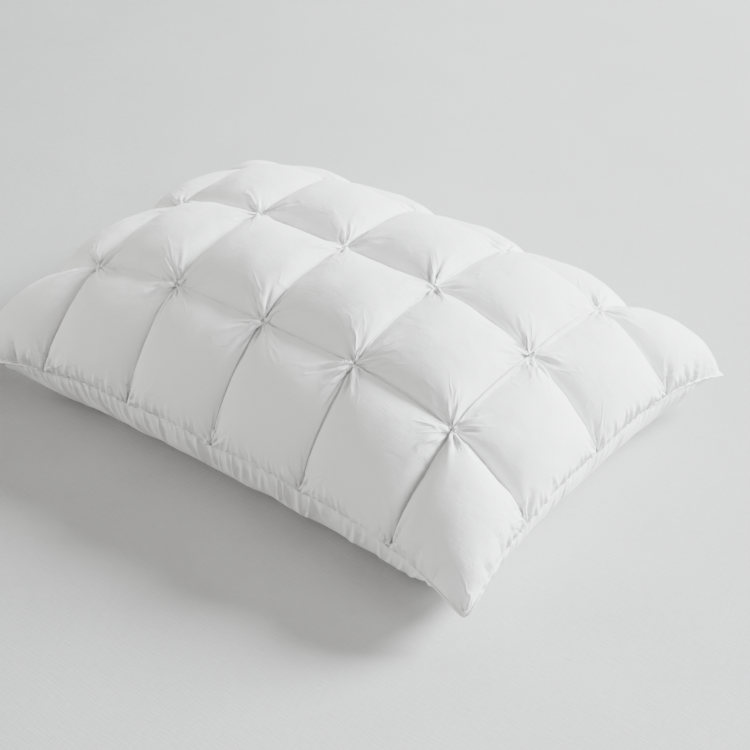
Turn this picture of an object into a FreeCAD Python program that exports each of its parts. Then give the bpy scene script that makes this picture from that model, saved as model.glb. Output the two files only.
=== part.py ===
"""Pinch-pleated bed pillow, standard size, as a parametric FreeCAD document (millimetres, +Z up).

The pillow lies on its plain underside. X runs along its length, Y across it, and the origin is the middle
of the underside, on the surface that it lies on. From the outside in it is a pleated top cover and a plain
bottom cover sewn together round the edge, a pad of down in each of the top's quilted cells, the lining that
the tucks are stitched through to, and a loose inner casing full of feathers.

Every fabric surface is written in cell coordinates: u counts quilted cells along X and v across Y, both from
the middle, so that the tucks lie on whole numbers and the edge seam on the outermost ones.
"""
import FreeCAD, Part
import math
import os

from FreeCAD import Placement, Rotation, Vector

# Driving dimensions, in millimetres unless the name says otherwise.
DIMENSIONS = [
    ("cells_along", 6),
    ("cells_across", 4),
    ("cell_pitch_along", 110),
    ("cell_pitch_across", 122),
    ("half_length_middle", 299),
    ("half_length_corner", 313.5),
    ("half_width_middle", 202.5),
    ("half_width_corner", 229),
    ("seam_height_long_edge", 57),
    ("seam_height_short_edge", 66),
    ("seam_height_corner", 31),
    ("crown_rise", 117),
    ("crown_power_along", 3.8),
    ("crown_power_across", 3.4),
    ("edge_bow_power", 4),
    ("cell_puff", 29),
    ("cell_puff_power", 0.75),
    ("contact_half_length", 250),
    ("contact_half_width", 165),
    ("cover_thickness", 0.8),
    ("lining_thickness", 0.6),
    ("layer_gap", 0.4),
    ("seam_gap", 2),
    ("seam_cord_size", 1.6),
    ("pad_margin", 5),
    ("casing_margin", 8),
    ("casing_drop", 3),
    ("thread_radius", 0.6),
    ("thread_lift", 1.6),
    ("thread_end_gap", 5),
    ("tack_radius", 2.2),
    ("tack_height", 2.4),
    ("tack_gap", 0.5),
    ("closing_length", 184),
    ("closing_stitch_length", 5),
    ("closing_stitch_pitch", 8),
    ("label_width", 32),
    ("label_length", 42),
    ("label_tape", 0.5),
    ("label_fold_gap", 0.4),
    ("label_slope_degrees", 66),
    ("label_position_along", 160),
]

# A cubic patch has this many control points each way, on evenly spaced knots.
DEGREE = 3
POLES = 7
KNOTS = [i / (POLES - DEGREE) for i in range(POLES - DEGREE + 1)]
MULTIPLICITIES = [DEGREE + 1] + [1] * (len(KNOTS) - 2) + [DEGREE + 1]
SIDES = ("u_low", "u_high", "v_low", "v_high")

doc = FreeCAD.newDocument("bed_pillow")
sheet = doc.addObject("Spreadsheet::Sheet", "dimensions")
parts = []


def fill_sheet():
    """Puts the driving dimensions in the spreadsheet, one alias a row."""
    for row, (alias, size) in enumerate(DIMENSIONS, start=1):
        sheet.set(f"A{row}", alias)
        sheet.set(f"B{row}", str(size))
        sheet.setAlias(f"B{row}", alias)
    doc.recompute()


def dim(alias):
    """A driving dimension as a plain number."""
    return float(sheet.get(alias))


def keep(thing, label):
    """Registers a document object as a sub-part; its label names its file."""
    thing.Label = label
    parts.append(thing)
    return thing


def keep_shape(label, shape):
    """A sub-part whose shape is made with Part's own functions."""
    thing = doc.addObject("Part::Feature", label)
    thing.Shape = shape
    thing.Placement = Placement()
    return keep(thing, label)


# ---------------------------------------------------------------- the pillow's surfaces


def greville():
    """Where a cubic's control points sit for it to follow a straight line evenly."""
    flat = [k for k, m in zip(KNOTS, MULTIPLICITIES) for _ in range(m)]
    return [sum(flat[i + 1 : i + 1 + DEGREE]) / DEGREE for i in range(POLES)]


def half_cells():
    return dim("cells_along") / 2, dim("cells_across") / 2


def plan(u, v, margin=0.0):
    """x, y and their shares of the way to the edge seam, for an outline drawn in by margin."""
    u_edge, v_edge = half_cells()
    bow = dim("edge_bow_power")
    half_length = dim("half_length_middle") - margin
    half_length += (dim("half_length_corner") - dim("half_length_middle")) * abs(v / v_edge) ** bow
    half_width = dim("half_width_middle") - margin
    half_width += (dim("half_width_corner") - dim("half_width_middle")) * abs(u / u_edge) ** bow
    x = stretched(u, u_edge, dim("cell_pitch_along"), half_length)
    y = stretched(v, v_edge, dim("cell_pitch_across"), half_width)
    return x, y, abs(x) / half_length, abs(y) / half_width


def stretched(cell, edge, pitch, half_size):
    """Even cells, but the outermost one ends on the seam."""
    inner = min(abs(cell), edge - 1)
    outer = abs(cell) - inner
    return math.copysign(inner * pitch + outer * (half_size - (edge - 1) * pitch), cell)


def seam_height(x_share, y_share):
    """Height of the edge seam: low at the corners, higher along the sides."""
    corner = dim("seam_height_corner")
    along = 1 - x_share**4
    across = 1 - y_share**3
    long_edge = (dim("seam_height_long_edge") - corner) * along
    short_edge = (dim("seam_height_short_edge") - corner) * across * x_share**4
    return corner + long_edge + short_edge


def crown(u, v, margin=0.0, drop=0.0):
    """The surface that the tucks lie on, without the cells' puff."""
    x, y, x_share, y_share = plan(u, v, margin)
    rise = dim("crown_rise") - drop
    rise *= (1 - x_share ** dim("crown_power_along")) * (1 - y_share ** dim("crown_power_across"))
    return Vector(x, y, seam_height(x_share, y_share) + dim("seam_gap") / 2 + rise)


def underside(u, v, margin=0.0, drop=0.0):
    """Flat where it lies, then turning up to the seam in a quarter ellipse."""
    x, y, x_share, y_share = plan(u, v, margin)
    half_length, half_width = abs(x) / max(x_share, 1e-9), abs(y) / max(y_share, 1e-9)
    across_x = turned(abs(x), dim("contact_half_length"), half_length) if x_share else 0
    across_y = turned(abs(y), dim("contact_half_width"), half_width) if y_share else 0
    turn = 1 - math.sqrt(max(0, (1 - across_x**2) * (1 - across_y**2)))
    return Vector(x, y, (seam_height(x_share, y_share) - dim("seam_gap") / 2) * turn + drop)


def turned(distance, start, end):
    """Share of the way through the turn-up between start and end."""
    return min(1, max(0, (distance - start) / (end - start)))


def normal(base, u, v):
    """Unit normal of a surface in cell coordinates, upwards."""
    step = 1e-3
    u_edge, v_edge = half_cells()
    u0, u1 = max(u - step, -u_edge), min(u + step, u_edge)
    v0, v1 = max(v - step, -v_edge), min(v + step, v_edge)
    return (base(u1, v) - base(u0, v)).cross(base(u, v1) - base(u, v0)).normalize()


def puff(u, v):
    """How far a cell stands above the crown here: nothing on the tucks, most in its middle."""
    s, t = u - math.floor(u), v - math.floor(v)
    mound = max(0, math.sin(math.pi * s) * math.sin(math.pi * t))
    return dim("cell_puff") * mound ** dim("cell_puff_power")


def top_layer(depth, puffed):
    """Surface at a depth under the top cover's outer face."""

    def point(u, v):
        rise = puff(u, v) if puffed else 0
        return crown(u, v) + normal(crown, u, v) * (rise - depth)

    return point


def bottom_layer(depth):
    """Surface at a depth above the bottom cover's outer face."""

    def point(u, v):
        return underside(u, v) + normal(underside, u, v) * depth

    return point


def casing_layer(base, depth):
    """Surface at a depth inside the inner casing, whose outline lies inside the edge seam."""

    def shape(u, v):
        lift = dim("casing_drop") if base is crown else 2 * dim("layer_gap") + dim("cover_thickness")
        return base(u, v, dim("casing_margin"), lift)

    def point(u, v):
        inwards = -depth if base is crown else depth
        return shape(u, v) + normal(shape, u, v) * inwards

    return point


# ---------------------------------------------------------------- patches, walls and solids


def patch(point, u, v):
    """Cubic patch of a surface over the cell that starts at u, v."""
    net = [[point(u + g, v + h) for h in greville()] for g in greville()]
    surface = Part.BSplineSurface()
    surface.buildFromPolesMultsKnots(
        net, MULTIPLICITIES, MULTIPLICITIES, KNOTS, KNOTS, False, False, DEGREE, DEGREE
    )
    return surface


def border(surface, side):
    """Control points, multiplicities and knots of one side of a patch."""
    net = surface.getPoles()
    if side[0] == "u":
        row = net[0] if side == "u_low" else net[-1]
        return row, surface.getVMultiplicities(), surface.getVKnots()
    row = [line[0] if side == "v_low" else line[-1] for line in net]
    return row, surface.getUMultiplicities(), surface.getUKnots()


def ruled(row_a, row_b, multiplicities, knots):
    """Face between two curves that have the same knots."""
    surface = Part.BSplineSurface()
    surface.buildFromPolesMultsKnots(
        [row_a, row_b], [2, 2], multiplicities, [0, 1], knots, False, False, 1, DEGREE
    )
    return surface.toShape()


def wall(upper, lower, side):
    """Face that closes the gap between two patches along one side."""
    row_a, multiplicities, knots = border(upper, side)
    row_b, _, _ = border(lower, side)
    return ruled(row_a, row_b, multiplicities, knots)


def solid_of(faces):
    """One closed solid from faces that meet edge to edge."""
    shell = Part.Shell(faces)
    shell.sewShape()
    solid = Part.Solid(shell.Shells[0] if shell.ShapeType != "Shell" else shell)
    if solid.Volume < 0:
        solid.reverse()
    return solid


def cells():
    """Lower corner of every cell, row by row."""
    u_edge, v_edge = (int(n) for n in half_cells())
    return [(u, v) for v in range(-v_edge, v_edge) for u in range(-u_edge, u_edge)]


def open_sides(u, v):
    """The sides of a cell that lie on the edge seam."""
    u_edge, v_edge = half_cells()
    on_seam = (u == -u_edge, u + 1 == u_edge, v == -v_edge, v + 1 == v_edge)
    return [side for side, outside in zip(SIDES, on_seam) if outside]


def is_middle(u, v):
    """True for the cells whose underside is quite flat."""
    return not open_sides(u, v)


def middle_plane(point):
    """The flat middle of the underside, as one plane face over all the inner cells."""
    u_edge, v_edge = (int(n) for n in half_cells())
    u_in, v_in = u_edge - 1, v_edge - 1
    corners = [(u, -v_in) for u in range(-u_in, u_in)]
    corners += [(u_in, v) for v in range(-v_in, v_in)]
    corners += [(u, v_in) for u in range(u_in, -u_in, -1)]
    corners += [(-u_in, v) for v in range(v_in, -v_in, -1)]
    points = [point(u, v) for u, v in corners]
    return Part.Face(Part.makePolygon(points + points[:1]))


def body_between(upper, lower, flat_upper=False, flat_lower=False):
    """Solid from edge to edge between two surfaces, either of which may lie flat in the middle."""
    faces = []
    for u, v in cells():
        above, below = patch(upper, u, v), patch(lower, u, v)
        if not (flat_upper and is_middle(u, v)):
            faces.append(above.toShape())
        if not (flat_lower and is_middle(u, v)):
            faces.append(below.toShape())
        faces += [wall(above, below, side) for side in open_sides(u, v)]
    faces += [middle_plane(upper)] if flat_upper else []
    faces += [middle_plane(lower)] if flat_lower else []
    return solid_of(faces)


# ---------------------------------------------------------------- covers, lining and fillings


def make_covers():
    cover = dim("cover_thickness")
    keep_shape("top_cover", body_between(top_layer(0, True), top_layer(cover, True)))
    keep_shape("bottom_cover", body_between(bottom_layer(cover), bottom_layer(0), True, True))


def make_lining():
    """The layer under the down pads that the tucks are stitched to."""
    start = dim("cover_thickness") + 2 * dim("layer_gap")
    end = start + dim("lining_thickness")
    keep_shape("quilt_lining", body_between(top_layer(start, False), top_layer(end, False)))


def make_pads():
    """One pad of down for each quilted cell, stopping short of the tucks round it."""
    gap = dim("layer_gap")
    upper = top_layer(dim("cover_thickness") + gap, True)
    lower = top_layer(dim("cover_thickness") + gap / 2, False)
    trim_u = dim("pad_margin") / dim("cell_pitch_along")
    trim_v = dim("pad_margin") / dim("cell_pitch_across")
    u_edge, v_edge = half_cells()
    for u, v in cells():
        above, below = patch(upper, u, v), patch(lower, u, v)
        for surface in (above, below):
            surface.segment(trim_u, 1 - trim_u, trim_v, 1 - trim_v)
        faces = [above.toShape(), below.toShape()] + [wall(above, below, side) for side in SIDES]
        keep_shape(f"down_pad_row{int(v + v_edge) + 1}_cell{int(u + u_edge) + 1}", solid_of(faces))


def make_core():
    """The inner casing, in two panels, and the feathers that fill it."""
    fabric = dim("lining_thickness")
    inside = fabric + dim("layer_gap")
    keep_shape("inner_casing_top", body_between(casing_layer(crown, 0), casing_layer(crown, fabric)))
    lower_panel = body_between(casing_layer(underside, fabric), casing_layer(underside, 0), True, True)
    keep_shape("inner_casing_bottom", lower_panel)
    filling = body_between(casing_layer(crown, inside), casing_layer(underside, inside), False, True)
    keep_shape("feather_core", filling)


# ---------------------------------------------------------------- seams and stitches


def seam_point(u, v, outwards, upwards):
    """Point beside the edge seam, level with it at outwards and upwards of nothing."""
    u_edge, v_edge = half_cells()
    x, y, x_share, y_share = plan(u, v)
    x += math.copysign(max(0, abs(u) - (u_edge - 1)), u) * outwards
    y += math.copysign(max(0, abs(v) - (v_edge - 1)), v) * outwards
    return Vector(x, y, seam_height(x_share, y_share) + upwards)


def make_edge_seam():
    """The sewn edge between the two covers: a square cord of thread and turned-in fabric all the way round."""
    half_wide = dim("seam_cord_size") / 2
    half_high = half_wide * 0.75
    ring = [(half_wide, half_high), (half_wide, -half_high), (-half_wide, -half_high), (-half_wide, half_high)]
    faces = []
    for u, v in cells():
        for side in open_sides(u, v):
            ends = {
                "u_low": lambda g: (u, v + g),
                "u_high": lambda g: (u + 1, v + g),
                "v_low": lambda g: (u + g, v),
                "v_high": lambda g: (u + g, v + 1),
            }[side]
            rows = [[seam_point(*ends(g), *corner) for g in greville()] for corner in ring]
            for row_a, row_b in zip(rows, rows[1:] + rows[:1]):
                faces.append(ruled(row_a, row_b, MULTIPLICITIES, KNOTS))
    keep_shape("edge_seam", solid_of(faces))


def thread_span(start, end):
    """Tube of thread in a tuck, from one pinched corner of a cell almost to the next."""
    lift = top_layer(-dim("thread_lift"), False)
    (u0, v0), (u1, v1) = start, end
    poles = [lift(u0 + (u1 - u0) * g, v0 + (v1 - v0) * g) for g in greville()]
    curve = Part.BSplineCurve()
    curve.buildFromPolesMultsKnots(poles, MULTIPLICITIES, KNOTS, False, DEGREE)
    share = dim("thread_end_gap") / (poles[-1] - poles[0]).Length
    curve.segment(share, 1 - share)
    first, direction = curve.value(curve.FirstParameter), curve.tangent(curve.FirstParameter)[0]
    section = Part.Wire(Part.makeCircle(dim("thread_radius"), first, direction))
    return Part.Wire(curve.toShape()).makePipeShell([section], True, True)


def make_tuck_threads():
    """The row of stitching in each tuck, in one span for each cell that it passes."""
    u_edge, v_edge = (int(n) for n in half_cells())
    for number, u in enumerate(range(1 - u_edge, u_edge), start=1):
        spans = [thread_span((u, v), (u, v + 1)) for v in range(-v_edge, v_edge)]
        keep_shape(f"cross_tuck_thread_{number}", Part.makeCompound(spans))
    for number, v in enumerate(range(1 - v_edge, v_edge), start=1):
        spans = [thread_span((u, v), (u + 1, v)) for u in range(-u_edge, u_edge)]
        keep_shape(f"long_tuck_thread_{number}", Part.makeCompound(spans))


def upright(direction):
    """Rotation that stands the Z axis along a direction."""
    return Rotation(Vector(0, 0, 1), direction)


def make_tacks():
    """The wound thread knot that pinches the cover wherever two tucks cross."""
    u_edge, v_edge = (int(n) for n in half_cells())
    foot = top_layer(-dim("tack_gap"), False)
    knots = []
    for v in range(1 - v_edge, v_edge):
        for u in range(1 - u_edge, u_edge):
            knot = doc.addObject("Part::Cylinder", "tack")
            knot.setExpression("Radius", "dimensions.tack_radius")
            knot.setExpression("Height", "dimensions.tack_height")
            knot.Placement = Placement(foot(u, v), upright(normal(crown, u, v)))
            knots.append(knot)
    group = doc.addObject("Part::Compound", "pinch_tacks")
    group.Links = knots
    keep(group, "pinch_tacks")


def make_closing_stitches():
    """The short row of stitches that closes the opening the pillow was filled through."""
    u_edge, _ = half_cells()
    count = int(dim("closing_length") / dim("closing_stitch_pitch"))
    outwards = dim("seam_cord_size") / 2 + dim("thread_radius") + dim("layer_gap") / 2
    stitches = []
    for number in range(count):
        y = (number - (count - 1) / 2) * dim("closing_stitch_pitch")
        v = y / dim("cell_pitch_across")
        before, here, after = (seam_point(-u_edge, v + d, outwards, 0) for d in (-0.02, 0, 0.02))
        along = (after - before).normalize()
        stitch = doc.addObject("Part::Cylinder", "closing_stitch")
        stitch.setExpression("Radius", "dimensions.thread_radius")
        stitch.setExpression("Height", "dimensions.closing_stitch_length")
        start = here - along * (dim("closing_stitch_length") / 2)
        stitch.Placement = Placement(start, upright(along))
        stitches.append(stitch)
    group = doc.addObject("Part::Compound", "closing_stitches")
    group.Links = stitches
    keep(group, "closing_stitches")


# ---------------------------------------------------------------- the care label


def label_profile(sketch):
    """A tape folded back on itself: two legs and the bend that joins them, seen edge on."""
    leg, tape, gap = dim("label_length"), dim("label_tape"), dim("label_fold_gap")
    depth = 2 * tape + gap
    middle, outer, inner = Vector(leg, depth / 2, 0), depth / 2, gap / 2
    corners = [
        (Vector(0, 0, 0), Vector(leg, 0, 0)),
        (Vector(leg, depth, 0), Vector(0, depth, 0)),
        (Vector(0, depth, 0), Vector(0, depth - tape, 0)),
        (Vector(0, depth - tape, 0), Vector(leg, depth - tape, 0)),
        (Vector(leg, tape, 0), Vector(0, tape, 0)),
        (Vector(0, tape, 0), Vector(0, 0, 0)),
    ]
    for start, end in corners:
        sketch.addGeometry(Part.LineSegment(start, end))
    for radius in (outer, inner):
        circle = Part.Circle(middle, Vector(0, 0, 1), radius)
        sketch.addGeometry(Part.ArcOfCircle(circle, -math.pi / 2, math.pi / 2))


def make_label():
    """A blank care label, caught in the seam of the far long edge and hanging down from it."""
    body = doc.addObject("PartDesign::Body", "care_label")
    sketch = body.newObject("Sketcher::SketchObject", "label_edge_on")
    plane = next(f for f in body.Origin.OriginFeatures if f.Role == "XY_Plane")
    sketch.AttachmentSupport = [(plane, "")]
    sketch.MapMode = "FlatFace"
    label_profile(sketch)
    pad = body.newObject("PartDesign::Pad", "label_width")
    pad.Profile = sketch
    pad.setExpression("Length", "dimensions.label_width")
    body.Tip = pad
    u = dim("label_position_along") / dim("cell_pitch_along")
    _, v_edge = half_cells()
    root = seam_point(u, v_edge, dim("seam_cord_size") / 2 + dim("layer_gap") / 2, 0)
    slope = math.radians(dim("label_slope_degrees"))
    outwards = Vector(0, math.cos(slope), -math.sin(slope))
    across = Vector(1, 0, 0)
    turned_to = Rotation(outwards, across.cross(outwards), across, "ZXY")
    body.Placement = Placement(root, turned_to)
    doc.recompute()
    keep(body, "care_label")


# ---------------------------------------------------------------- checks and files


def check_and_write():
    """Stops on any failed object or bad shape, then writes one STEP file for each sub-part."""
    doc.recompute()
    failed = [o.Name for o in doc.Objects if {"Invalid", "Error"} & set(o.State)]
    if failed:
        raise RuntimeError(f"objects that failed to build: {failed}")
    for thing in parts:
        shape = thing.Shape
        if shape.isNull() or not shape.isValid() or not shape.Solids:
            raise RuntimeError(f"{thing.Label} has no valid solid")
        if min(solid.Volume for solid in shape.Solids) <= 0:
            raise RuntimeError(f"{thing.Label} has a solid of no volume")
    os.makedirs("parts", exist_ok=True)
    for thing in parts:
        thing.Shape.exportStep(os.path.join("parts", thing.Label + ".step"))
        box = thing.Shape.BoundBox
        print(f"{thing.Label:28s} {len(thing.Shape.Solids):3d} solids {thing.Shape.Volume / 1000:10.2f} cm3"
              f"  {box.XLength:6.1f} x {box.YLength:6.1f} x {box.ZLength:6.1f}  z {box.ZMin:6.2f} to {box.ZMax:6.2f}")


fill_sheet()
make_covers()
make_lining()
make_pads()
make_core()
make_edge_seam()
make_tuck_threads()
make_tacks()
make_closing_stitches()
make_label()
check_and_write()
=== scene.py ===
"""The looks of a pinch-pleated bed pillow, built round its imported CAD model.

The top cover is one sheet of cloth, relaxed by a small cloth solver: it is held along its tucks, gathered
where they cross and blown up from below. Every other piece is shaped in code from the pillow's surfaces.
Lengths are in metres.
"""
import math

import bpy
import numpy as np
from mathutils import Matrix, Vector


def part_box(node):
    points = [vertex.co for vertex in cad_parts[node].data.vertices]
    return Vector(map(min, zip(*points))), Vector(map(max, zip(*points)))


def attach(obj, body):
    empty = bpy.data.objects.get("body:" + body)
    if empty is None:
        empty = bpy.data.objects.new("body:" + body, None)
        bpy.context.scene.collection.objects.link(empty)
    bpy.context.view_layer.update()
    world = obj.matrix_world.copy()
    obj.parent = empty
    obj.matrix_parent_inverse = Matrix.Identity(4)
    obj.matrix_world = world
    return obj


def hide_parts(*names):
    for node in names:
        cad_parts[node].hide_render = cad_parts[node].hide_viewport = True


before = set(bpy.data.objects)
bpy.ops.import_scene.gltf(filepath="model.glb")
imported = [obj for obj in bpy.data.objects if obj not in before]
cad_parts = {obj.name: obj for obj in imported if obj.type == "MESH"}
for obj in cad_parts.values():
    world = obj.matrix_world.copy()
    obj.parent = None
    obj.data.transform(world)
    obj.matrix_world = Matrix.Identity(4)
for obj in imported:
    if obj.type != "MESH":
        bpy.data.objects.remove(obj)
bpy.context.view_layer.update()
rng = np.random.default_rng(20260)

# The pillow's plan, as its CAD model has it. u counts cells along X and v across Y, both from the middle.
CELLS = (6, 4)
EDGE = (CELLS[0] / 2, CELLS[1] / 2)
PITCH = (0.110, 0.122)
HALF_LENGTH = (0.299, 0.319)  # at the middle of the short edge, at the corners
HALF_WIDTH = (0.2025, 0.234)  # at the middle of the long edge, at the corners
SEAM_HEIGHT = {"long": 0.057, "short": 0.066, "corner": 0.031}
SIDE_CURVES = (3, 3.5)  # powers, higher ones for sides that are straight for longer
CROWN_RISE = 0.117
CROWN_CURVES = (3.8, 3.4)
CONTACT = (0.243, 0.165)  # half sizes of the part of the underside that lies flat
CORNER_ROUNDING = 0.009
ROUNDING_CURVE = 22
FLAP_START, FLAP_FADE, FLAP_SHARE = 0.70, 0.22, 0.85  # of the underside's thin corners
CROSSINGS = [(i, j) for i in range(-3, 4) for j in range(-2, 3) if abs(i) < 3 or abs(j) < 2]
KNOTS = [(i, j) for i, j in CROSSINGS if abs(i) < 3 and abs(j) < 2]

# The cloth. The top's flat cells are larger than the cells they fill. The spare is pinched in at the knots.
FLAT_CELL = (0.1235, 0.1375)
FLAT_TOP = (FLAT_CELL[0] * CELLS[0], FLAT_CELL[1] * CELLS[1])
PINCH_RADIUS = 0.0095  # of the flat cloth that a knot gathers
EDGE_PINCH_RADIUS = 0.0118  # of what is gathered where a tuck ends at the seam
PINCHED_RADIUS = 0.003  # what either is gathered to
PINCH_FADE = 0.003
START_HEIGHT, START_NOISE = 0.025, 0.0006  # of the puffs that the solver starts from
SOLVER_LEVELS = (  # grid steps a cell, steps of time, push of the filling and stiffness
    ((26, 28), 700, 4e-6, 0.012),
    ((52, 56), 800, 2e-6, 0.004),
)
GRID = SOLVER_LEVELS[-1][0]
FINE_STEPS = 60  # a cell, for measuring along the crown
TUCK_SPACING = 0.48  # how far apart the cloth's grid lines are at a tuck, next to an even grid
STRAIGHT_PULL = (1.0, 0.35)  # how much of a thread's stretch, and of its slack, a pass takes back
DIAGONAL_PULL = (0.25, 0.08)
STIFF_LENGTH = 0.002  # runs of the grid longer than this bend more easily
SPEED_KEPT = 0.985
TOP_SPEED = 0.0008
CLOTH_HEIGHT = (0.0003, 0.2)  # least and most over the crown
EASE_LIMITS = (0.7, 1.1)
WALL_REACH = 12  # in grid lines
CORNER_ROOM = (0.32, 0.2)  # the corners' soft part, in cells: its size and how far it fades
CORNER_PASSES = 24

# The edge seam, and the rings of points beside it, which are finer than the cloth's grid.
SEAM_DIP, DIP_WIDTH = 0.0042, 0.013  # how far each tuck's end draws the seam down, and about where
SEAM_SPLIT = 0.0004  # half the gap between the two covers at the seam
SEAM_RING = (1500, 10)  # points round the pillow and round the seam's own section
SEAM_HALF = (0.0018, 0.0008)  # half sizes of that section, outwards and upwards
SEAM_OUT = 0.0004
EDGE_COLUMNS = (80, 88)  # in a cell
EDGE_ROWS = 13
EDGE_INSET = 17  # in grid lines
BOTTOM_STEPS = (560, 420)
BOTTOM_ROWS = 24
BOTTOM_BAND = 0.28  # share of the way to the middle that the puckered band takes

# The fold of each tuck, the pleats and the knots.
FOLD_SECTION = ((-1, 0.0), (-1.1, 0.45), (-0.95, 0.85), (0, 1.0), (0.95, 0.85), (1.1, 0.45), (1, 0.0))
FOLD_HALF = 0.0005
FOLD_HEIGHT = (0.0030, 0.0018)  # of the tucks across the pillow, and of those along it
FOLD_CLOTH = 0.0075
FOLD_FADE = (0.009, 0.022)  # clear of a knot, and the distance over which it comes to its full height
FOLD_ROOM = 0.0007
ROOM_FADE = (0.010, 0.014)
KNOT_FOLD = 0.12  # share of its height that a fold keeps at a knot
BEAD_WIDTH = 2.0  # how much wider and higher the last tuck across the pillow stands between its outer knots
BEAD_HEIGHT = 1.1
BEAD_AT_KNOTS = 0.75
TAIL_HEIGHT = 0.0016
TAIL_WIDTH = 0.9  # in grid lines
TAIL_SHARE = 0.5  # of a fold's height that is left where its tail takes over
KNOT_RADIUS = 0.0056
KNOT_RISE = 0.0036
KNOT_PLEATS = (0.0035, (0.012, 0.026), (0.0007, 0.0011), (0.0010, 0.0017), 0.35)  # see fan
LONG_PLEATS = (0.008, (0.034, 0.060), (0.0012, 0.0018), (0.0011, 0.0019))
FRONT_PLEATS = (0.008, (0.030, 0.050), (0.0012, 0.0018), (0.0013, 0.0020))
RIM_PLEATS = (0.003, (0.012, 0.032), (0.0013, 0.0021), (0.0011, 0.0025))
TUCK_END_PLEATS = (0.016, (0.022, 0.036), (0.0016, 0.0025), (0.0013, 0.0022))
RIM_CLEAR = 0.06  # how far from the corners the pleats along the seam start
DEEPEST_HOLLOW = -0.0006
CREASE_DEPTH = 0.0015

# What is inside, and the stitches.
BACKING_DEPTH = 0.002
PANEL_THICKNESS = 0.0006
LINING_DEPTH, LINING_MARGIN = 0.0030, 0.008
CASING_DEPTH, CASING_MARGIN = (0.0042, 0.0056), 0.010  # under the top, and over the underside
CORE_DEPTH, CORE_MARGIN = (0.0056, 0.0070), 0.016
CORNER_PULL = 0.07  # how far the corners of the inner layers are drawn in, clear of the covers' thin flaps
PAD_GAP = (0.0024, 0.0032)  # how deep a pad's underside is under the crown, and its top under the cover
PAD_INSET = 7  # in grid lines
THREAD_STEP = 0.0007
THREAD_ENDS = slice(12, -12)  # the grid lines of a tuck that its thread runs over
THREAD_RADIUS, TACK_RADIUS, WHIP_RADIUS = 0.00022, 0.00026, 0.00028
STITCH_LENGTH = 0.0044
CLOSING_COUNT = 23
LABEL_SLOPE = math.radians(66)
LABEL_FOLD = 0.0006
LABEL_FLAP = 0.47  # share of the tape in each of its two flaps

# The looks, the camera and the light.
WHITE = ((0.86, 0.86, 0.855), (0.90, 0.90, 0.896))
SLUB_STREAKS = ((40, 900, 1), (900, 40, 1))  # uneven threads along and across the cloth
SLUB_DEPTH = 0.00019
CREASES = ((3.6, 0.004, 0.030), (2.5, 0.007, 0.075))  # how many, where they start and how far they reach
LENS = 85.9
CAMERA_ANGLES = (math.radians(37.9), math.radians(35.7))  # azimuth and elevation
CAMERA_TARGET = (0.0517, -0.0176, 0.055)
CAMERA_DISTANCE = 1.7886
FLOOR_HALF = 40
WORLD_COLOR = (1.0, 0.987, 0.955, 1)
WORLD_STRENGTH = 0.435
LIGHTS = (  # name, size, place, target, power and colour
    ("window", 3.4, (3.75, 6.60, 3.95), (0, 0, 0.1), 3950, (0.955, 0.975, 1.0)),
    ("side_window", 3.6, (6.0, 0.6, 3.8), (0, 0, 0.1), 300, (0.985, 0.99, 1.0)),
    ("bounce_board", 0.7, (-2.1, -1.1, 0.55), (0, 0, 0.05), 38, (1.0, 0.99, 0.97)),
)


# --- the pillow's surfaces


def stretched(cell, edge, pitch, half_size):
    """Even cells, but the outermost one ends on the seam."""
    inner = np.minimum(np.abs(cell), edge - 1)
    outer = np.abs(cell) - inner
    return np.sign(cell) * (inner * pitch + outer * (half_size - (edge - 1) * pitch))


def plan(u, v):
    """x, y, their shares of the way to the edge seam, and how far the seam is along each."""
    half_length = HALF_LENGTH[0] + (HALF_LENGTH[1] - HALF_LENGTH[0]) * np.abs(v / EDGE[1]) ** SIDE_CURVES[0]
    half_width = HALF_WIDTH[0] + (HALF_WIDTH[1] - HALF_WIDTH[0]) * np.abs(u / EDGE[0]) ** SIDE_CURVES[1]
    x = stretched(u, EDGE[0], PITCH[0], half_length)
    y = stretched(v, EDGE[1], PITCH[1], half_width)
    x_share, y_share = np.abs(x) / half_length, np.abs(y) / half_width
    blunt = CORNER_ROUNDING * (x_share * y_share) ** ROUNDING_CURVE
    x, y = x - np.sign(x) * blunt, y - np.sign(y) * blunt
    return x, y, x_share, y_share, half_length, half_width


def seam_height(x_share, y_share):
    corner = SEAM_HEIGHT["corner"]
    along, across = 1 - x_share**4, 1 - y_share**3
    rise = (SEAM_HEIGHT["long"] - corner) * along
    return corner + rise + (SEAM_HEIGHT["short"] - corner) * across * x_share**4


def crown(u, v):
    """The surface that the tucks lie on."""
    x, y, x_share, y_share, _, _ = plan(u, v)
    rise = CROWN_RISE * (1 - x_share ** CROWN_CURVES[0]) * (1 - y_share ** CROWN_CURVES[1])
    return np.stack([x, y, seam_height(x_share, y_share) + rise], axis=-1)


def underside(u, v):
    """Flat where it lies, then turning up to the seam in a quarter ellipse. The corners are thin flaps."""
    x, y, x_share, y_share, half_length, half_width = plan(u, v)
    turn_x = np.clip((x_share * half_length - CONTACT[0]) / (half_length - CONTACT[0]), 0, 1)
    turn_y = np.clip((y_share * half_width - CONTACT[1]) / (half_width - CONTACT[1]), 0, 1)
    left = (1 - turn_x**2) * (1 - turn_y**2)
    flap_x, flap_y = (smoothstep((share - FLAP_START) / FLAP_FADE) for share in (x_share, y_share))
    flap = FLAP_SHARE * flap_x * flap_y
    turn = (1 - flap) * (1 - np.sqrt(left)) + flap * np.sqrt(1 - left)
    return np.stack([x, y, seam_height(x_share, y_share) * turn], axis=-1)


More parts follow.
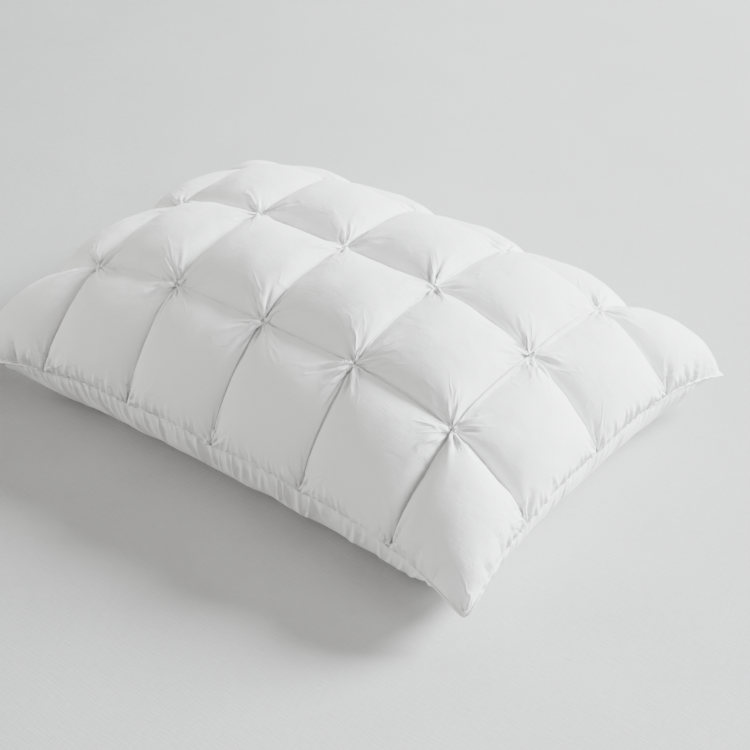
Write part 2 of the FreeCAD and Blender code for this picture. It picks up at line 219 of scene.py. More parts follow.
def directions(u, v):
    """Unit vectors along the crown in the direction of u and of v, and upright on it."""
    u, v = (np.clip(place, 0.002 - edge, edge - 0.002) for place, edge in zip((u, v), EDGE))
    along_u = unit(crown(u + 0.001, v) - crown(u - 0.001, v))
    along_v = unit(crown(u, v + 0.001) - crown(u, v - 0.001))
    return along_u, along_v, unit(np.cross(along_u, along_v))


# --- small tools


def smoothstep(value):
    t = np.clip(value, 0, 1)
    return t * t * (3 - 2 * t)


def unit(vectors):
    return vectors / np.maximum(np.linalg.norm(vectors, axis=-1, keepdims=True), 1e-12)


def area_normals(points):
    """Normals of a grid of points, each as long as the area it stands for."""
    return np.cross(np.gradient(points, axis=0), np.gradient(points, axis=1))


def normals(points):
    return unit(area_normals(points))


def each_pair(first, second):
    """The two coordinates of a grid's points."""
    return np.meshgrid(first, second, indexing="ij")


def flat_grid(flat_u, flat_v):
    return np.stack(each_pair(flat_u, flat_v), axis=-1)


def by_axis(axis, own, other):
    """Two values in the order of u and v. The first belongs to an axis and the second to the other one."""
    return (own, other) if axis == 0 else (other, own)


def run_lengths(path):
    """How far along each point of a path is. A path may be a stack of rows."""
    runs = np.linalg.norm(np.diff(path, axis=0), axis=-1)
    return np.concatenate([np.zeros((1,) + runs.shape[1:]), np.cumsum(runs, axis=0)])


def sampled(path, far, places):
    """A path's points at some places along it."""
    return np.stack([np.interp(places, far, path[:, k]) for k in range(3)], axis=-1)


def between(grid, i, j):
    """Values of a grid at places between its points."""
    low_i = np.minimum(np.floor(i).astype(int), grid.shape[0] - 2)
    low_j = np.minimum(np.floor(j).astype(int), grid.shape[1] - 2)
    part_i, part_j = (i - low_i)[..., None], (j - low_j)[..., None]
    near = grid[low_i, low_j] * (1 - part_j) + grid[low_i, low_j + 1] * part_j
    far = grid[low_i + 1, low_j] * (1 - part_j) + grid[low_i + 1, low_j + 1] * part_j
    return near * (1 - part_i) + far * part_i


def smooth_noise(place, size, depth=1.0, waves=9):
    """Smooth seeded noise of about one unit, over places in the plane, with bumps about size across."""
    total = np.zeros(place.shape[:-1])
    for _ in range(waves):
        angle, phase = rng.uniform(0, 2 * math.pi, 2)
        rate = 2 * math.pi / (size * rng.uniform(1.4, 3.0))
        total += np.sin(rate * (place[..., 0] * math.cos(angle) + place[..., 1] * math.sin(angle)) + phase)
    return depth * total / math.sqrt(waves / 2)


# --- the cloth solver


class Cloth:
    """A sheet of cloth as a grid of points, each joined to its neighbours by threads that hardly stretch."""

    def __init__(self, points, flat, pinned, shrink, ease, base, base_normal, stiffness, walls):
        self.points = points.copy()
        self.speed = np.zeros_like(points)
        self.free = np.where(pinned, 0.0, 1.0)[..., None]
        self.base, self.base_normal, self.walls = base, base_normal, walls
        self.bands, self.bends = [], []
        du, dv = np.diff(flat[0])[:, None], np.diff(flat[1])[None, :]
        nu, nv = points.shape[:2]
        length_u = du * ease[0] * (shrink[1:] + shrink[:-1]) / 2
        length_v = dv * ease[1] * (shrink[:, 1:] + shrink[:, :-1]) / 2
        mean_u = (length_u[:, 1:] + length_u[:, :-1]) / 2
        mean_v = (length_v[1:] + length_v[:-1]) / 2
        diagonal = np.sqrt(mean_u**2 + mean_v**2)
        for odd in (0, 1):
            self.add((slice(odd, nu - 1, 2), slice(None)), (1, 0), length_u[odd::2], STRAIGHT_PULL)
            self.add((slice(None), slice(odd, nv - 1, 2)), (0, 1), length_v[:, odd::2], STRAIGHT_PULL)
        for odd in (0, 1):
            rows = slice(odd, nu - 1, 2)
            self.add((rows, slice(0, nv - 1)), (1, 1), diagonal[odd::2], DIAGONAL_PULL)
            self.add((rows, slice(1, nv)), (1, -1), diagonal[odd::2], DIAGONAL_PULL)
        for axis, steps in ((0, du * np.ones((nu - 1, nv))), (1, dv * np.ones((nu, nv - 1)))):
            for start in range(3):
                self.add_bend(axis, points.shape[axis], start, steps, stiffness)

    def add(self, first, step, length, pull):
        """Threads from each point of the first slice to the one a step away."""
        second = tuple(
            slice((s.start or 0) + d, s.stop and s.stop + d, s.step) for s, d in zip(first, step)
        )
        weight = self.free[first] + self.free[second]
        share = np.where(weight > 0, 1 / np.maximum(weight, 1), 0)
        shares = self.free[first] * share, self.free[second] * share
        self.bands.append((first, second, length[..., None], *shares, pull))

    def add_bend(self, axis, count, start, steps, stiffness):
        """Stiffness that pulls the middle of every third run of three points towards its ends."""
        places = [grid_line(axis, slice(start + k, count - 2 + k, 3)) for k in range(3)]
        before, after = steps[places[0]][..., None], steps[places[1]][..., None]
        lean = after / (before + after)
        free = [self.free[place] for place in places]
        scale = stiffness * np.minimum(1, (STIFF_LENGTH / ((before + after) / 2)) ** 3)
        load = free[0] * lean**2 + free[1] + free[2] * (1 - lean) ** 2
        scale = np.where(free[1] > 0, scale / np.maximum(load, 1e-9), 0)
        self.bends.append((places, lean, free, scale))

    def relax(self, steps, pressure):
        """Moves the cloth for some steps. pressure is how far it pushes a free point in a step."""
        points = self.points
        push = pressure / np.mean(np.linalg.norm(area_normals(points), axis=-1))
        for _ in range(steps):
            old = points
            points = points + self.speed
            points += self.free * push * area_normals(old)
            self.hold(points)
            self.speed = (points - old) * SPEED_KEPT
            sizes = np.linalg.norm(self.speed, axis=-1, keepdims=True)
            self.speed *= np.minimum(1, TOP_SPEED / np.maximum(sizes, 1e-9))
        return points

    def hold(self, points):
        """One pass over every thread, every bend, the crown below the cloth and the walls at the tucks."""
        for first, second, length, share_a, share_b, pull in self.bands:
            a, b = points[first], points[second]
            gap = b - a
            size = np.sqrt(np.einsum("ijk,ijk->ij", gap, gap))[..., None]
            over = (size - length) / np.maximum(size, 1e-9)
            over *= np.where(over > 0, *pull)
            gap *= over
            a += gap * share_a
            b -= gap * share_b
        for places, lean, free, scale in self.bends:
            a, b, c = (points[p] for p in places)
            off = (b - a * lean - c * (1 - lean)) * scale
            a += off * lean * free[0]
            b -= off * free[1]
            c += off * (1 - lean) * free[2]
        height = np.einsum("ijk,ijk->ij", points - self.base, self.base_normal)
        wanted = np.clip(height, *CLOTH_HEIGHT)
        points += ((wanted - height) * self.free[..., 0])[..., None] * self.base_normal
        for beside, foot, sideways, room in self.walls:
            near = points[beside]
            past = ((near - foot) * sideways).sum(axis=-1)
            near += (np.maximum(0, room - past) * self.free[beside][..., 0])[..., None] * sideways


def grid_line(axis, place):
    """Index of one or more grid lines across an axis."""
    return (slice(None),) * axis + (place,)


# --- where the cloth is held


def flat_places(cells, count, flat):
    """Places of all the grid lines on the flat cloth, from its middle, closer together towards the tucks."""
    away = 1 - np.abs(np.linspace(-1, 1, count + 1)[:-1])
    from_tuck = TUCK_SPACING * away + (1 - TUCK_SPACING) * away**4
    side = np.where(np.arange(count) < count / 2, -1, 1)
    steps = flat / 2 * (1 + side * (1 - from_tuck))
    places = np.concatenate([steps + flat * c for c in range(cells)] + [[flat * cells]])
    return places - flat * cells / 2


def along_line(axis, line, places, pinches):
    """Cell coordinate of each point of the cloth on a tuck or an edge, gathered at its crossings.

    pinches gives the flat radius that is gathered at each crossing.
    """
    cells, flat = CELLS[1 - axis], FLAT_CELL[1 - axis]
    fine = np.linspace(-cells / 2, cells / 2, cells * FINE_STEPS + 1)
    lengths = run_lengths(crown(*by_axis(axis, np.full_like(fine, line), fine)))
    crossings = lengths[::FINE_STEPS]
    travelled = np.empty_like(places)
    for cell in range(cells):
        start, end = (cell - cells / 2) * flat, (cell + 1 - cells / 2) * flat
        inside = (places >= start - 1e-9) & (places <= end + 1e-9)
        first, last = pinches[cell], pinches[cell + 1]
        held = [PINCHED_RADIUS if radius else 0.0 for radius in (first, last)]
        marks = [start, start + first + 1e-9, end - last - 1e-9, end]
        near, far = crossings[cell], crossings[cell + 1]
        room = [near, near + held[0], far - held[1], far]
        travelled[inside] = np.interp(places[inside], marks, room)
    return np.interp(travelled, lengths, fine)


def gathering(flat):
    """How much the cloth is drawn together at each point: to almost nothing in a disc round each pinch."""
    u, v = each_pair(*flat)
    shrink = np.ones_like(u)
    for i, j in CROSSINGS:
        radius = PINCH_RADIUS if (i, j) in KNOTS else EDGE_PINCH_RADIUS
        away = np.hypot(u - i * FLAT_CELL[0], v - j * FLAT_CELL[1])
        t = np.clip((away - radius + PINCH_FADE / 2) / PINCH_FADE, 0, 1)
        least = PINCHED_RADIUS / radius
        shrink = np.minimum(shrink, least + (1 - least) * t * t * (3 - 2 * t))
    return shrink


def make_ripple(depth):
    """Small seeded waves along a seam, as a function of the distance along it."""
    rates = 2 * math.pi / np.array([0.0105, 0.0135, 0.0175, 0.031])
    shares = np.array([0.8, 1.0, 0.7, 0.5])
    phases, drifts = rng.uniform(0, 2 * math.pi, 4), rng.uniform(0, 2 * math.pi, 4)

    def ripple(distance):
        d = np.asarray(distance)[..., None]
        turns = d * 2 * math.pi
        swell = 0.35 * np.sin(turns / 0.11 + drifts[0]) * np.sin(turns / 0.047 + drifts[1])
        wander = 0.9 * np.sin(turns / 0.06 + drifts[2])
        waves = (shares * np.sin(rates * d + phases + wander)).sum(axis=-1)
        return depth * ((0.65 + swell[..., 0]) * waves) / 1.6

    return ripple


SEAM_RIPPLES = [make_ripple(depth) for depth in (0.0011, 0.0011, 0.0008, 0.0008)]  # short sides, long sides


def seam_points(u, v):
    """The edge seam, with the small waves that its gathers give it. u or v is on the edge."""
    x, y, x_share, y_share, _, _ = plan(u, v)
    on_u, on_v = np.isclose(np.abs(u), EDGE[0]), np.isclose(np.abs(v), EDGE[1])
    near_u, near_v = (
        np.exp(-(((place - np.round(place)) * pitch / DIP_WIDTH) ** 2)) * (np.abs(place) < edge - 0.5)
        for place, pitch, edge in zip((u, v), PITCH, EDGE)
    )
    x = x - np.sign(u) * on_u * 0.4 * SEAM_DIP * near_v
    y = y - np.sign(v) * on_v * 0.4 * SEAM_DIP * near_u
    z = seam_height(x_share, y_share) - SEAM_DIP * (on_u * near_v + on_v * near_u)
    wave = np.zeros_like(x)
    sides = [(on_u & (side * u > 0), y, y_share) for side in (-1, 1)]
    sides += [(on_v & (side * v > 0), x, x_share) for side in (-1, 1)]
    for ripple, (here, place, share) in zip(SEAM_RIPPLES, sides):
        wave = np.where(here, wave + ripple(place) * (1 - share**10), wave)
    x = x + 0.35 * wave * on_u * np.sign(u)
    y = y + 0.35 * wave * on_v * np.sign(v)
    return np.stack([x, y, z + 0.94 * wave], axis=-1)


def top_cloth(count):
    """The grid of the top cover laid over the crown with count steps a cell, and where it is held."""
    flat = [flat_places(*side) for side in zip(CELLS, count, FLAT_CELL)]
    u, v = each_pair(flat[0] / FLAT_CELL[0], flat[1] / FLAT_CELL[1])
    pinned = np.zeros(u.shape, bool)
    for axis, moved in ((0, v), (1, u)):
        for tuck in range(CELLS[axis] + 1):
            on_edge = tuck in (0, CELLS[axis])
            ends = 0.0 if on_edge else EDGE_PINCH_RADIUS
            inner = EDGE_PINCH_RADIUS if on_edge else PINCH_RADIUS
            pinches = [ends] + [inner] * (CELLS[1 - axis] - 1) + [ends]
            held = grid_line(axis, tuck * count[axis])
            moved[held] = along_line(axis, tuck - EDGE[axis], flat[1 - axis], pinches)
            pinned[held] = True
    return flat, u, v, pinned


def finer(points):
    """The same grid with a new line half way between each two."""
    for axis in (0, 1):
        points = np.swapaxes(points, 0, axis)
        more = np.empty((2 * len(points) - 1,) + points.shape[1:])
        more[::2] = points
        more[1::2] = (points[1:] + points[:-1]) / 2
        points = np.swapaxes(more, 0, axis)
    return points


def relaxed_top():
    """Relaxes the top cover, first roughly and then on the full grid."""
    points = None
    for count, steps, push, stiffness in SOLVER_LEVELS:
        flat, u, v, pinned = top_cloth(count)
        base, up = crown(u, v), directions(u, v)[2]
        if points is None:
            mound = np.abs(np.sin(math.pi * u) * np.sin(math.pi * v)) ** 0.7
            points = base + up * (START_HEIGHT * mound)[..., None]
            points += up * (START_NOISE * np.random.default_rng(7).standard_normal(u.shape))[..., None]
        else:
            points = finer(points)
        rim = np.isclose(np.abs(u), EDGE[0]) | np.isclose(np.abs(v), EDGE[1])
        held = np.where(rim[..., None], seam_points(u, v) + [0, 0, SEAM_SPLIT], base)
        points = np.where(pinned[..., None], held, points)
        shrink = gathering(flat)
        ease = easing(points, flat, shrink, count)
        walls = crossing_walls(points, u, v, flat, count)
        points = Cloth(points, flat, pinned, shrink, ease, base, up, stiffness, walls).relax(steps, push)
    return flat, u, v, points


def knot_fade(places, axis, clear, fade):
    """0 within clear of a crossing on the flat cloth, rising to 1 over the next fade."""
    flat, edge = FLAT_CELL[axis], EDGE[axis]
    nearest = np.round(places / flat + edge) - edge
    return smoothstep((np.abs(places - nearest * flat) - clear) / fade)


def crossing_walls(points, u, v, flat, count):
    """Upright planes through the tucks. The cloth beside a tuck keeps clear of them and of its fold."""
    walls = []
    ways = directions(u, v)
    for axis in (0, 1):
        room = np.expand_dims(FOLD_ROOM * knot_fade(flat[1 - axis], 1 - axis, *ROOM_FADE), axis)
        for tuck in range(1, CELLS[axis]):
            at = tuck * count[axis]
            foot = grid_line(axis, slice(at, at + 1))
            for side, rows in ((1, slice(at + 1, at + 1 + WALL_REACH)), (-1, slice(at - WALL_REACH, at))):
                walls.append((grid_line(axis, rows), points[foot], side * ways[axis][foot], room))
    return walls


def easing(points, flat, shrink, count):
    """How far the cloth along each side of each cell is eased to the length that side really has."""
    ease = []
    for axis in (0, 1):
        grid, drawn = np.swapaxes(points, 0, axis), np.swapaxes(shrink, 0, axis)
        cells, step, cross = CELLS[axis], count[axis], count[1 - axis]
        real = np.linalg.norm(np.diff(grid[:, ::cross], axis=0), axis=-1)
        cut = np.diff(flat[axis])[:, None] * (drawn[1:, ::cross] + drawn[:-1, ::cross]) / 2
        share = real.reshape(cells, step, -1).sum(axis=1) / cut.reshape(cells, step, -1).sum(axis=1)
        share = np.clip(share, *EASE_LIMITS)
        t = np.arange(cross) / cross
        near = (1 - np.minimum(t, 1 - t) * 2) ** 3
        first, last = share[:, :-1, None], share[:, 1:, None]
        eased = 1 + ((first + (last - first) * t) - 1) * near
        full = np.concatenate([eased.reshape(cells, -1), share[:, -1:]], axis=1)
        ease.append(np.swapaxes(np.repeat(full, step, axis=0), 0, axis))
    return ease


def with_soft_corners(points, u, v):
    """Evens out the small creases that the simulation leaves in the four corners."""
    size, fade = CORNER_ROOM
    near = smoothstep((np.abs(u) - EDGE[0] + size) / fade) * smoothstep((np.abs(v) - EDGE[1] + size) / fade)
    for _ in range(CORNER_PASSES):
        beside = points[:-2, 1:-1] + points[2:, 1:-1] + points[1:-1, :-2] + points[1:-1, 2:]
        points[1:-1, 1:-1] += near[1:-1, 1:-1, None] * (beside / 4 - points[1:-1, 1:-1])
    return points


# --- pleats and the tucks' folds


def pleated(places, pleats):
    """Height of many small pleats at each place in the plane.

    A pleat is a narrow ridge with a hollow on one side. It starts at a point, runs out one way and fades.
    """
    spots = places.reshape(-1, 2)
    height = np.zeros(len(spots))
    for origin, angle, start, length, width, rise, bend in pleats:
        off = spots - origin
        near = np.flatnonzero(np.abs(off).max(axis=1) < length)
        along = off[near] @ (math.cos(angle), math.sin(angle))
        across = off[near] @ (-math.sin(angle), math.cos(angle)) - bend * along**2
        x = across / (width * (0.6 + 0.9 * np.clip(along / length, 0, 1)))
        fade = smoothstep((along / start - 0.3) / 0.7) * (1 - smoothstep((along / length - 0.35) / 0.65))
        height[near] += rise * fade * (np.exp(-(x**2)) - 0.45 * np.exp(-((x - 1.7) ** 2)))
    return height.reshape(places.shape[:-1])


def fan(origin, angles, start, lengths, widths, rises, long_share=0.0):
    """Pleats that spread from one point at about the given angles. A few are nearly twice as long."""
    pleats = []
    for angle in angles:
        length = rng.uniform(*lengths) * (1.9 if rng.random() < long_share else 1.0)
        turned = math.radians(angle + rng.uniform(-8, 8))
        bend = rng.uniform(-4, 4)
        pleats.append((origin, turned, start, length, rng.uniform(*widths), rng.uniform(*rises), bend))
    return pleats


def knot_pleats():
    """Pleats round the knots, in plan, in the four corners between the tucks."""
    pleats = []
    for i, j in KNOTS:
        origin = crown(np.float64(i), np.float64(j))[:2]
        for quarter in range(4):
            angles = [(17, 34, 56, 73), (14, 29, 45, 61, 76)][rng.integers(2)]
            angles = [90 * quarter + a for a in angles]
            pleats += fan(origin, angles, *KNOT_PLEATS)
            angles = rng.uniform(90 * quarter + 14, 90 * quarter + 76, 2)
            pleats += fan(origin, angles, *LONG_PLEATS)
        if j < 0:
            pleats += fan(origin, (222, 236, 250), *FRONT_PLEATS)
    return pleats


def rim_pleats():
    """Short pleats in from the edge seam, on the flat cloth, and fans of them where the tucks end."""
    pleats = []
    half = np.array(FLAT_TOP) / 2
    for axis in (0, 1):
        other = 1 - axis
        for side in (-1, 1):
            inward = 270 * other - 90 * side
            place = RIM_CLEAR - half[other]
            while place < half[other] - RIM_CLEAR:
                origin = np.array(by_axis(axis, side * half[axis], place))
                pleats += fan(origin, [inward + rng.uniform(-14, 14)], *RIM_PLEATS)
                place += rng.uniform(0.006, 0.011)
            for tuck in range(1 - CELLS[other] // 2, CELLS[other] // 2):
                origin = np.array(by_axis(axis, side * half[axis], tuck * FLAT_CELL[other]))
                pleats += fan(origin, [inward + a for a in (-58, -38, -21, 21, 38, 58)], *TUCK_END_PLEATS)
    return pleats


def knot_bundles(points, weave):
    """Height of the small tight bundle of cloth that each knot draws together."""
    height = np.zeros(points.shape[:2])
    grain = smooth_noise(weave, 0.0045, waves=14)
    for i, j in KNOTS:
        away = np.linalg.norm(points - crown(np.float64(i), np.float64(j)), axis=-1) / KNOT_RADIUS
        off = weave - [i * FLAT_CELL[0], j * FLAT_CELL[1]]
        angle = np.arctan2(off[..., 1], off[..., 0])
        turned = rng.integers(5, 8) * angle + rng.uniform(0, 6)
        folds = np.clip(away, 0.1, 1) * np.sin(turned + 120 * np.linalg.norm(off, axis=-1))
        height += KNOT_RISE * np.clip(1 - away**2, 0, 1) * (0.7 + 0.3 * folds + 0.1 * grain)
    return height


def fold_lines(axis):
    """Each line of the folded cover: its line on the plain one, place on a fold, and cloth used so far."""
    cells, count = CELLS[axis], GRID[axis]
    lines, spent = [], 0.0
    for line in range(cells * count + 1):
        on_tuck = line % count == 0 and 0 < line < cells * count
        section = FOLD_SECTION if on_tuck else ((0, 0),)
        for k, (lean, rise) in enumerate(section):
            spent += FOLD_CLOTH / (len(section) - 1) if k else 0
            lines.append((line, lean, rise, spent))
    line, lean, rise, spent = np.array(lines).T
    return line.astype(int), lean, rise, spent - spent[-1] / 2


def folded_away(line, axis):
    """How much further out each grid line is on the cut cloth, for the cloth that the tucks take up."""
    passed = sum(np.clip(line - tuck * GRID[axis] + 0.5, 0, 1) for tuck in range(1, CELLS[axis]))
    return FOLD_CLOTH * (passed - (CELLS[axis] - 1) / 2)


def fold_tails(rings):
    """Height of the tucks' folds where they run out to the edge seam, over the rings of points there."""
    height = np.zeros(rings[0].shape)
    for axis, line in enumerate(rings):
        for tuck in range(1, CELLS[axis]):
            tail = TAIL_HEIGHT * np.exp(-(((line - tuck * GRID[axis]) / TAIL_WIDTH) ** 2))
            height = np.maximum(height, tail)
    return height


def with_folds(points, flat, u, v):
    """Adds the narrow upright fold that each tuck is sewn as. It is low at the knots and at the seam."""
    along_u, along_v, up = directions(u, v)
    (line_u, lean_u, rise_u, spent_u), (line_v, lean_v, rise_v, spent_v) = fold_lines(0), fold_lines(1)
    both = np.ix_(line_u, line_v)
    from_middle = np.abs(line_v / GRID[1] - EDGE[1])
    bead = np.outer(line_u == (CELLS[0] - 1) * GRID[0], 1 - smoothstep((from_middle - 1) / 0.1))
    fade_u, fade_v = (knot_fade(flat[axis], axis, *FOLD_FADE) for axis in (0, 1))
    size_u = np.maximum(KNOT_FOLD + (1 - KNOT_FOLD) * fade_v[line_v], BEAD_AT_KNOTS * bead)
    size_v = KNOT_FOLD + (1 - KNOT_FOLD) * fade_u[line_u][:, None]
    uneven = 1 + 0.06 * smooth_noise(points[..., :2][both], 0.04)
    from_edge = np.minimum.outer(*[np.minimum(line, line.max() - line) for line in (line_u, line_v)])
    uneven *= TAIL_SHARE + (1 - TAIL_SHARE) * smoothstep((from_edge - EDGE_INSET) / 7)
    folded = points[both]
    wider = 1 + BEAD_WIDTH * bead * rise_u[:, None]
    folded += (FOLD_HALF * size_u * wider * lean_u[:, None])[..., None] * along_u[both]
    folded += (FOLD_HALF * size_v * lean_v[None, :])[..., None] * along_v[both]
    taller = 1 + BEAD_HEIGHT * bead
    heights = FOLD_HEIGHT[0] * size_u * taller * rise_u[:, None], FOLD_HEIGHT[1] * size_v * rise_v[None, :]
    folded += (uneven * np.maximum(*heights))[..., None] * up[both]
    return folded, flat_grid(flat[0][line_u] + spent_u, flat[1][line_v] + spent_v)


# --- meshes


def quads(rows, columns, closed=(False, False)):
    """Four-sided faces of a grid of points, numbered row by row. A closed way ends where it starts."""
    i, j = each_pair(np.arange(rows - 1 + closed[0]), np.arange(columns - 1 + closed[1]))
    after, beside = (i + 1) % rows, (j + 1) % columns
    corners = i * columns + j, after * columns + j, after * columns + beside, i * columns + beside
    return np.stack(corners, axis=-1).reshape(-1, 4)


def make_object(name, points, faces, weave=None):
    """A smooth-shaded mesh. faces is a list of arrays, and weave each point's place on the flat cloth."""
    corners = np.concatenate([group.ravel() for group in faces])
    sizes = np.concatenate([np.full(len(group), group.shape[1]) for group in faces])
    mesh = bpy.data.meshes.new(name)
    points = np.asarray(points, float).reshape(-1, 3)
    mesh.vertices.add(len(points))
    mesh.vertices.foreach_set("co", points.ravel())
    mesh.loops.add(len(corners))
    mesh.loops.foreach_set("vertex_index", corners)
    mesh.polygons.add(len(sizes))
    mesh.polygons.foreach_set("loop_start", np.concatenate([[0], np.cumsum(sizes)[:-1]]))
    if weave is not None:
        layer = mesh.uv_layers.new(name="weave")
        layer.uv.foreach_set("vector", np.asarray(weave, float).reshape(-1, 2)[corners].ravel())
    mesh.update(calc_edges=True)
    mesh.validate()
    mesh.polygons.foreach_set("use_smooth", np.ones(len(mesh.polygons), bool))
    obj = bpy.data.objects.new(name, mesh)
    bpy.context.scene.collection.objects.link(obj)
    return obj


def finish_piece(obj, node, slot, material):
    """Puts a piece in the place of a CAD node."""
    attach(obj, "root")
    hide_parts(node)
    obj.data.materials.append(material)
    return obj


def rim_numbers(nu, nv):
    """Numbers of a grid's outermost points, once round."""
    i, j = once_round((0, 0), (nu - 1, nv - 1), np.arange(nu), np.arange(nv))
    return i * nv + j


def once_round(low, high, u_line, v_line):
    """The two coordinates of a ring once round a rectangle, from its lowest corner along the first axis."""
    first = [u_line[:-1], 0 * v_line[:-1] + high[0], u_line[:0:-1], 0 * v_line[:-1] + low[0]]
    second = [0 * u_line[:-1] + low[1], v_line[:-1], 0 * u_line[:-1] + high[1], v_line[:0:-1]]
    return np.concatenate(first), np.concatenate(second)


def ring_place(points, steps):
    """How far round a four-sided ring each point is, from 0 to 4. steps is how many steps two sides have."""
    runs = np.linalg.norm(np.roll(points, -1, axis=0) - points, axis=-1)
    places, start = [], 0
    for side, count in enumerate((*steps, *steps)):
        far = np.cumsum(runs[start : start + count])
        places.extend(side + far / far[-1])
        start += count
    return places


def ring_strip(points, outer, outer_steps, inner, inner_steps):
    """Triangles between two four-sided rings of numbered points. The ring that is behind takes each step."""
    places = ring_place(points[outer], outer_steps) + ring_place(points[inner], inner_steps)
    on_outer = np.argsort(places, kind="stable") < len(outer)
    a, b = np.cumsum(on_outer) - on_outer, np.cumsum(~on_outer) - ~on_outer
    third = np.where(on_outer, outer[(a + 1) % len(outer)], inner[(b + 1) % len(inner)])
    return np.stack([outer[a % len(outer)], third, inner[b % len(inner)]], axis=-1)


def make_cover(name, node, parts, steps, faces_down, cotton):
    """A cover in one mesh of three parts, each its points and their places on the flat cloth.

    They are a band of rings from the seam inwards, the grid where it ends, and a coarser backing inside.
    """
    band, middle, backing = (points for points, _ in parts)
    rows, columns = band.shape[:2]
    points, weave = (np.concatenate([part[k].reshape(-1, 3 - k) for part in parts]) for k in (0, 1))
    first_ring, last_ring = np.arange(columns), np.arange(columns) + (rows - 1) * columns
    groups = [quads(rows, columns, (False, True))[:, [0, 3, 2, 1]]]
    start = rows * columns
    for grid, ring, inside in ((middle, last_ring, False), (backing, first_ring, True)):
        nu, nv = grid.shape[:2]
        strip = ring_strip(points, ring, steps, rim_numbers(nu, nv) + start, (nu - 1, nv - 1))
        groups += [group[:, ::-1] if inside else group for group in (quads(nu, nv) + start, strip)]
        start += nu * nv
    if faces_down:
        groups = [group[:, ::-1] for group in groups]
    faces = [np.concatenate(groups[:2] + groups[3:4]), np.concatenate(groups[2::2])]
    return finish_piece(make_object(name, points, faces, weave), node, "cover_cotton", cotton)


def closed_layer(name, top, bottom, weave):
    """A closed layer between two grids of points of the same size."""
    nu, nv = top.shape[:2]
    shift = nu * nv
    rim = rim_numbers(nu, nv)
    after = np.roll(rim, -1)
    walls = np.stack([rim, rim + shift, after + shift, after], axis=-1)
    faces = np.concatenate([quads(nu, nv), quads(nu, nv)[:, ::-1] + shift, walls])
    points = np.concatenate([top.reshape(-1, 3), bottom.reshape(-1, 3)])
    return make_object(name, points, [faces], np.tile(weave.reshape(-1, 2), (2, 1)))


def tube(path, radius, upwards, sides=6, closed=False):
    """Points, faces and weave places of a thread along a path. upwards is a way that is never along it."""
    count = len(path)
    if closed:
        along = unit(np.roll(path, -1, axis=0) - np.roll(path, 1, axis=0))
    else:
        along = unit(np.gradient(path, axis=0))
    across = unit(np.cross(along, upwards))
    over = np.cross(across, along)
    turn = np.arange(sides) * 2 * math.pi / sides
    ring = across[:, None] * np.cos(turn)[None, :, None] + over[:, None] * np.sin(turn)[None, :, None]
    points = path[:, None] + radius * ring
    faces = [quads(count, sides, (closed, True))[:, [0, 3, 2, 1]]]
    if not closed:
        faces.append(np.array([np.arange(sides)[::-1], (count - 1) * sides + np.arange(sides)]))
    return points.reshape(-1, 3), faces, flat_grid(run_lengths(path), turn * radius).reshape(-1, 2)


def make_threads(name, tubes):
    """One object made of several tubes."""
    points, weave, faces, shift = [], [], {}, 0
    for tube_points, tube_faces, tube_weave in tubes:
        points.append(tube_points)
        weave.append(tube_weave)
        for group in tube_faces:
            faces.setdefault(group.shape[1], []).append(group + shift)
        shift += len(tube_points)
    groups = [np.concatenate(groups) for groups in faces.values()]
    return make_object(name, np.concatenate(points), groups, np.concatenate(weave))


# --- covers


def edge_rings(flat):
    """Grid-line numbers of rings of points near the top cover's edge, finer along it than its grid."""
    lines = []
    for places, cells, columns in zip(flat, CELLS, EDGE_COLUMNS):
        fine = np.linspace(places[0], places[-1], cells * columns + 1)
        lines.append(np.interp(fine, places, np.arange(len(places))))
    rings = []
    for inset in np.linspace(0, EDGE_INSET - 1, EDGE_ROWS):
        moved, ends = [], []
        for line, steps, cells in zip(lines, GRID, CELLS):
            last = steps * cells
            from_end = np.minimum(line, last - line)
            inner = np.where(from_end < steps, inset + from_end * (steps - inset) / steps, from_end)
            moved.append(np.where(line < last / 2, inner, last - inner))
            ends.append(last - inset)
        rings.append(once_round((inset, inset), ends, *moved))
    return np.swapaxes(rings, 0, 1)


def make_top_cover(cotton):
    """The quilted top: the relaxed cloth with its pleats and folds, a finely puckered edge and a backing."""
    flat, u, v, points = relaxed_top()
    points = with_soft_corners(points, u, v)
    weave = flat_grid(*flat)
    facing = normals(points)
    backing = points - facing * BACKING_DEPTH
    at_knots, at_rim = knot_pleats(), rim_pleats()
    dimple = smooth_noise(weave, 0.02, 0.00025, 20)

    height = pleated(points[..., :2], at_knots) + np.maximum(pleated(weave, at_rim), DEEPEST_HOLLOW) + dimple
    height[:: GRID[0]] = height[:, :: GRID[1]] = 0
    height += knot_bundles(points, weave)
    folded, folded_weave = with_folds(points + height[..., None] * facing, flat, u, v)
    kept = (slice(EDGE_INSET, -EDGE_INSET),) * 2

    rings = edge_rings(flat)
    band, band_weave = between(points, *rings), between(weave, *rings)
    rise = pleated(band[..., :2], at_knots) + np.maximum(pleated(band_weave, at_rim), DEEPEST_HOLLOW)
    rise += between(dimple[..., None], *rings)[..., 0] + fold_tails(rings)
    rise *= smoothstep(np.arange(EDGE_ROWS) / 2)[:, None]
    band += rise[..., None] * unit(between(facing, *rings))
    band_weave += np.stack([folded_away(line, axis) for axis, line in enumerate(rings)], axis=-1)

    parts = (band, band_weave), (folded[kept], folded_weave[kept]), (backing[::4, ::4], weave[::4, ::4])
    steps = [cells * columns for cells, columns in zip(CELLS, EDGE_COLUMNS)]
    cover = make_cover("top_cover_cloth", "top_cover", parts, steps, False, cotton)
    return points, u, v


def even_grid(reach, counts):
    """The two coordinates of an even grid that reaches as far to both sides."""
    return each_pair(*[np.linspace(-far, far, count) for far, count in zip(reach, counts)])


